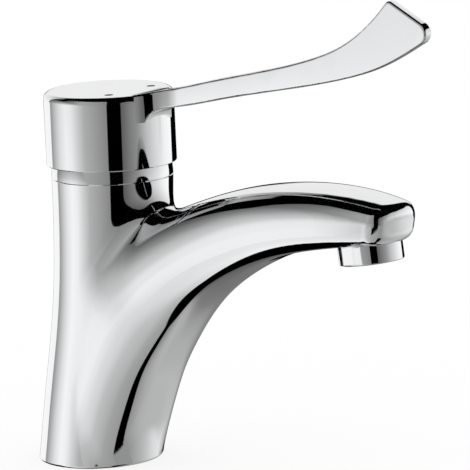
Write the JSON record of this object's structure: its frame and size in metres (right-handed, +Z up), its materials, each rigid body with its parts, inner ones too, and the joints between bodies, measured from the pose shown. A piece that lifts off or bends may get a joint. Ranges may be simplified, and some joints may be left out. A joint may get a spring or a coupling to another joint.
{
  "type": "elbow lever basin mixer tap",
  "caption": "Chromed basin mixer: leaning column, curved spout, round cap with a long upswept elbow lever that lifts and swings.",
  "frame": {"origin": "centre of the round mouth in the foot of the body, on the plane that rests on the basin", "axes": "+X forward along the spout, +Z up, +Y to the left of someone who looks along the spout from behind the tap"},
  "size_m": [0.1877, 0.0492, 0.1824],
  "materials": {
    "chrome_body": "bright chrome on cast brass",
    "chrome_ring": "bright chrome on turned brass",
    "chrome_lever": "bright chrome on cast metal",
    "chrome_outlet": "bright chrome on turned brass",
    "hot_enamel": "dark red gloss inlay",
    "cold_enamel": "dark blue gloss inlay",
    "black_rubber": "matt black rubber",
    "moulded_plastic": "pale moulded plastic",
    "limiter_plastic": "red moulded plastic",
    "ceramic": "lapped white ceramic",
    "turned_brass": "turned brass",
    "steel": "fine machined steel",
    "outlet_plastic": "grey moulded plastic"
  },
  "bodies": {
    "tap": {"body": "chrome_body", "base_gasket": "black_rubber", "port_seals": "black_rubber", "cartridge_base": "moulded_plastic", "disc_seals": "black_rubber", "fixed_ceramic_disc": "ceramic", "cartridge_housing": "moulded_plastic", "temperature_limiter": "limiter_plastic", "cartridge_nut": "turned_brass", "cover_ring": "chrome_ring", "cover_ring_seal": "black_rubber", "aerator_collar": "chrome_outlet", "aerator_insert": "outlet_plastic", "aerator_screen": "steel", "aerator_washer": "black_rubber"},
    "swivel_guide": {"spindle_holder": "moulded_plastic", "spindle_pin": "steel"},
    "lever": {"lever_handle": "chrome_lever", "spindle_adaptor": "moulded_plastic", "handle_set_screw": "steel", "hot_mark": "hot_enamel", "cold_mark": "cold_enamel", "spindle": "turned_brass"},
    "carrier": {"disc_carrier": "moulded_plastic", "moving_ceramic_disc": "ceramic"}
  },
  "joints": [
    {"name": "lever_swing", "type": "hinge", "parent": "tap", "child": "swivel_guide", "pos_m": [0.0128, 0, 0.1102], "axis": [0, 0, 1], "range_deg": [-45, 45]},
    {"name": "lever_lift", "type": "hinge", "parent": "swivel_guide", "child": "lever", "pos_m": [0.0128, 0, 0.1102], "axis": [0, -1, 0], "range_deg": [0, 24]},
    {"name": "carrier_slide", "type": "slide", "parent": "swivel_guide", "child": "carrier", "axis": [1, 0, 0], "range_m": [0, 0.0056]}
  ],
  "couplings": [
    {"joint": "carrier_slide", "follows": "lever_lift", "m_per_rad": 0.0133}
  ]
}
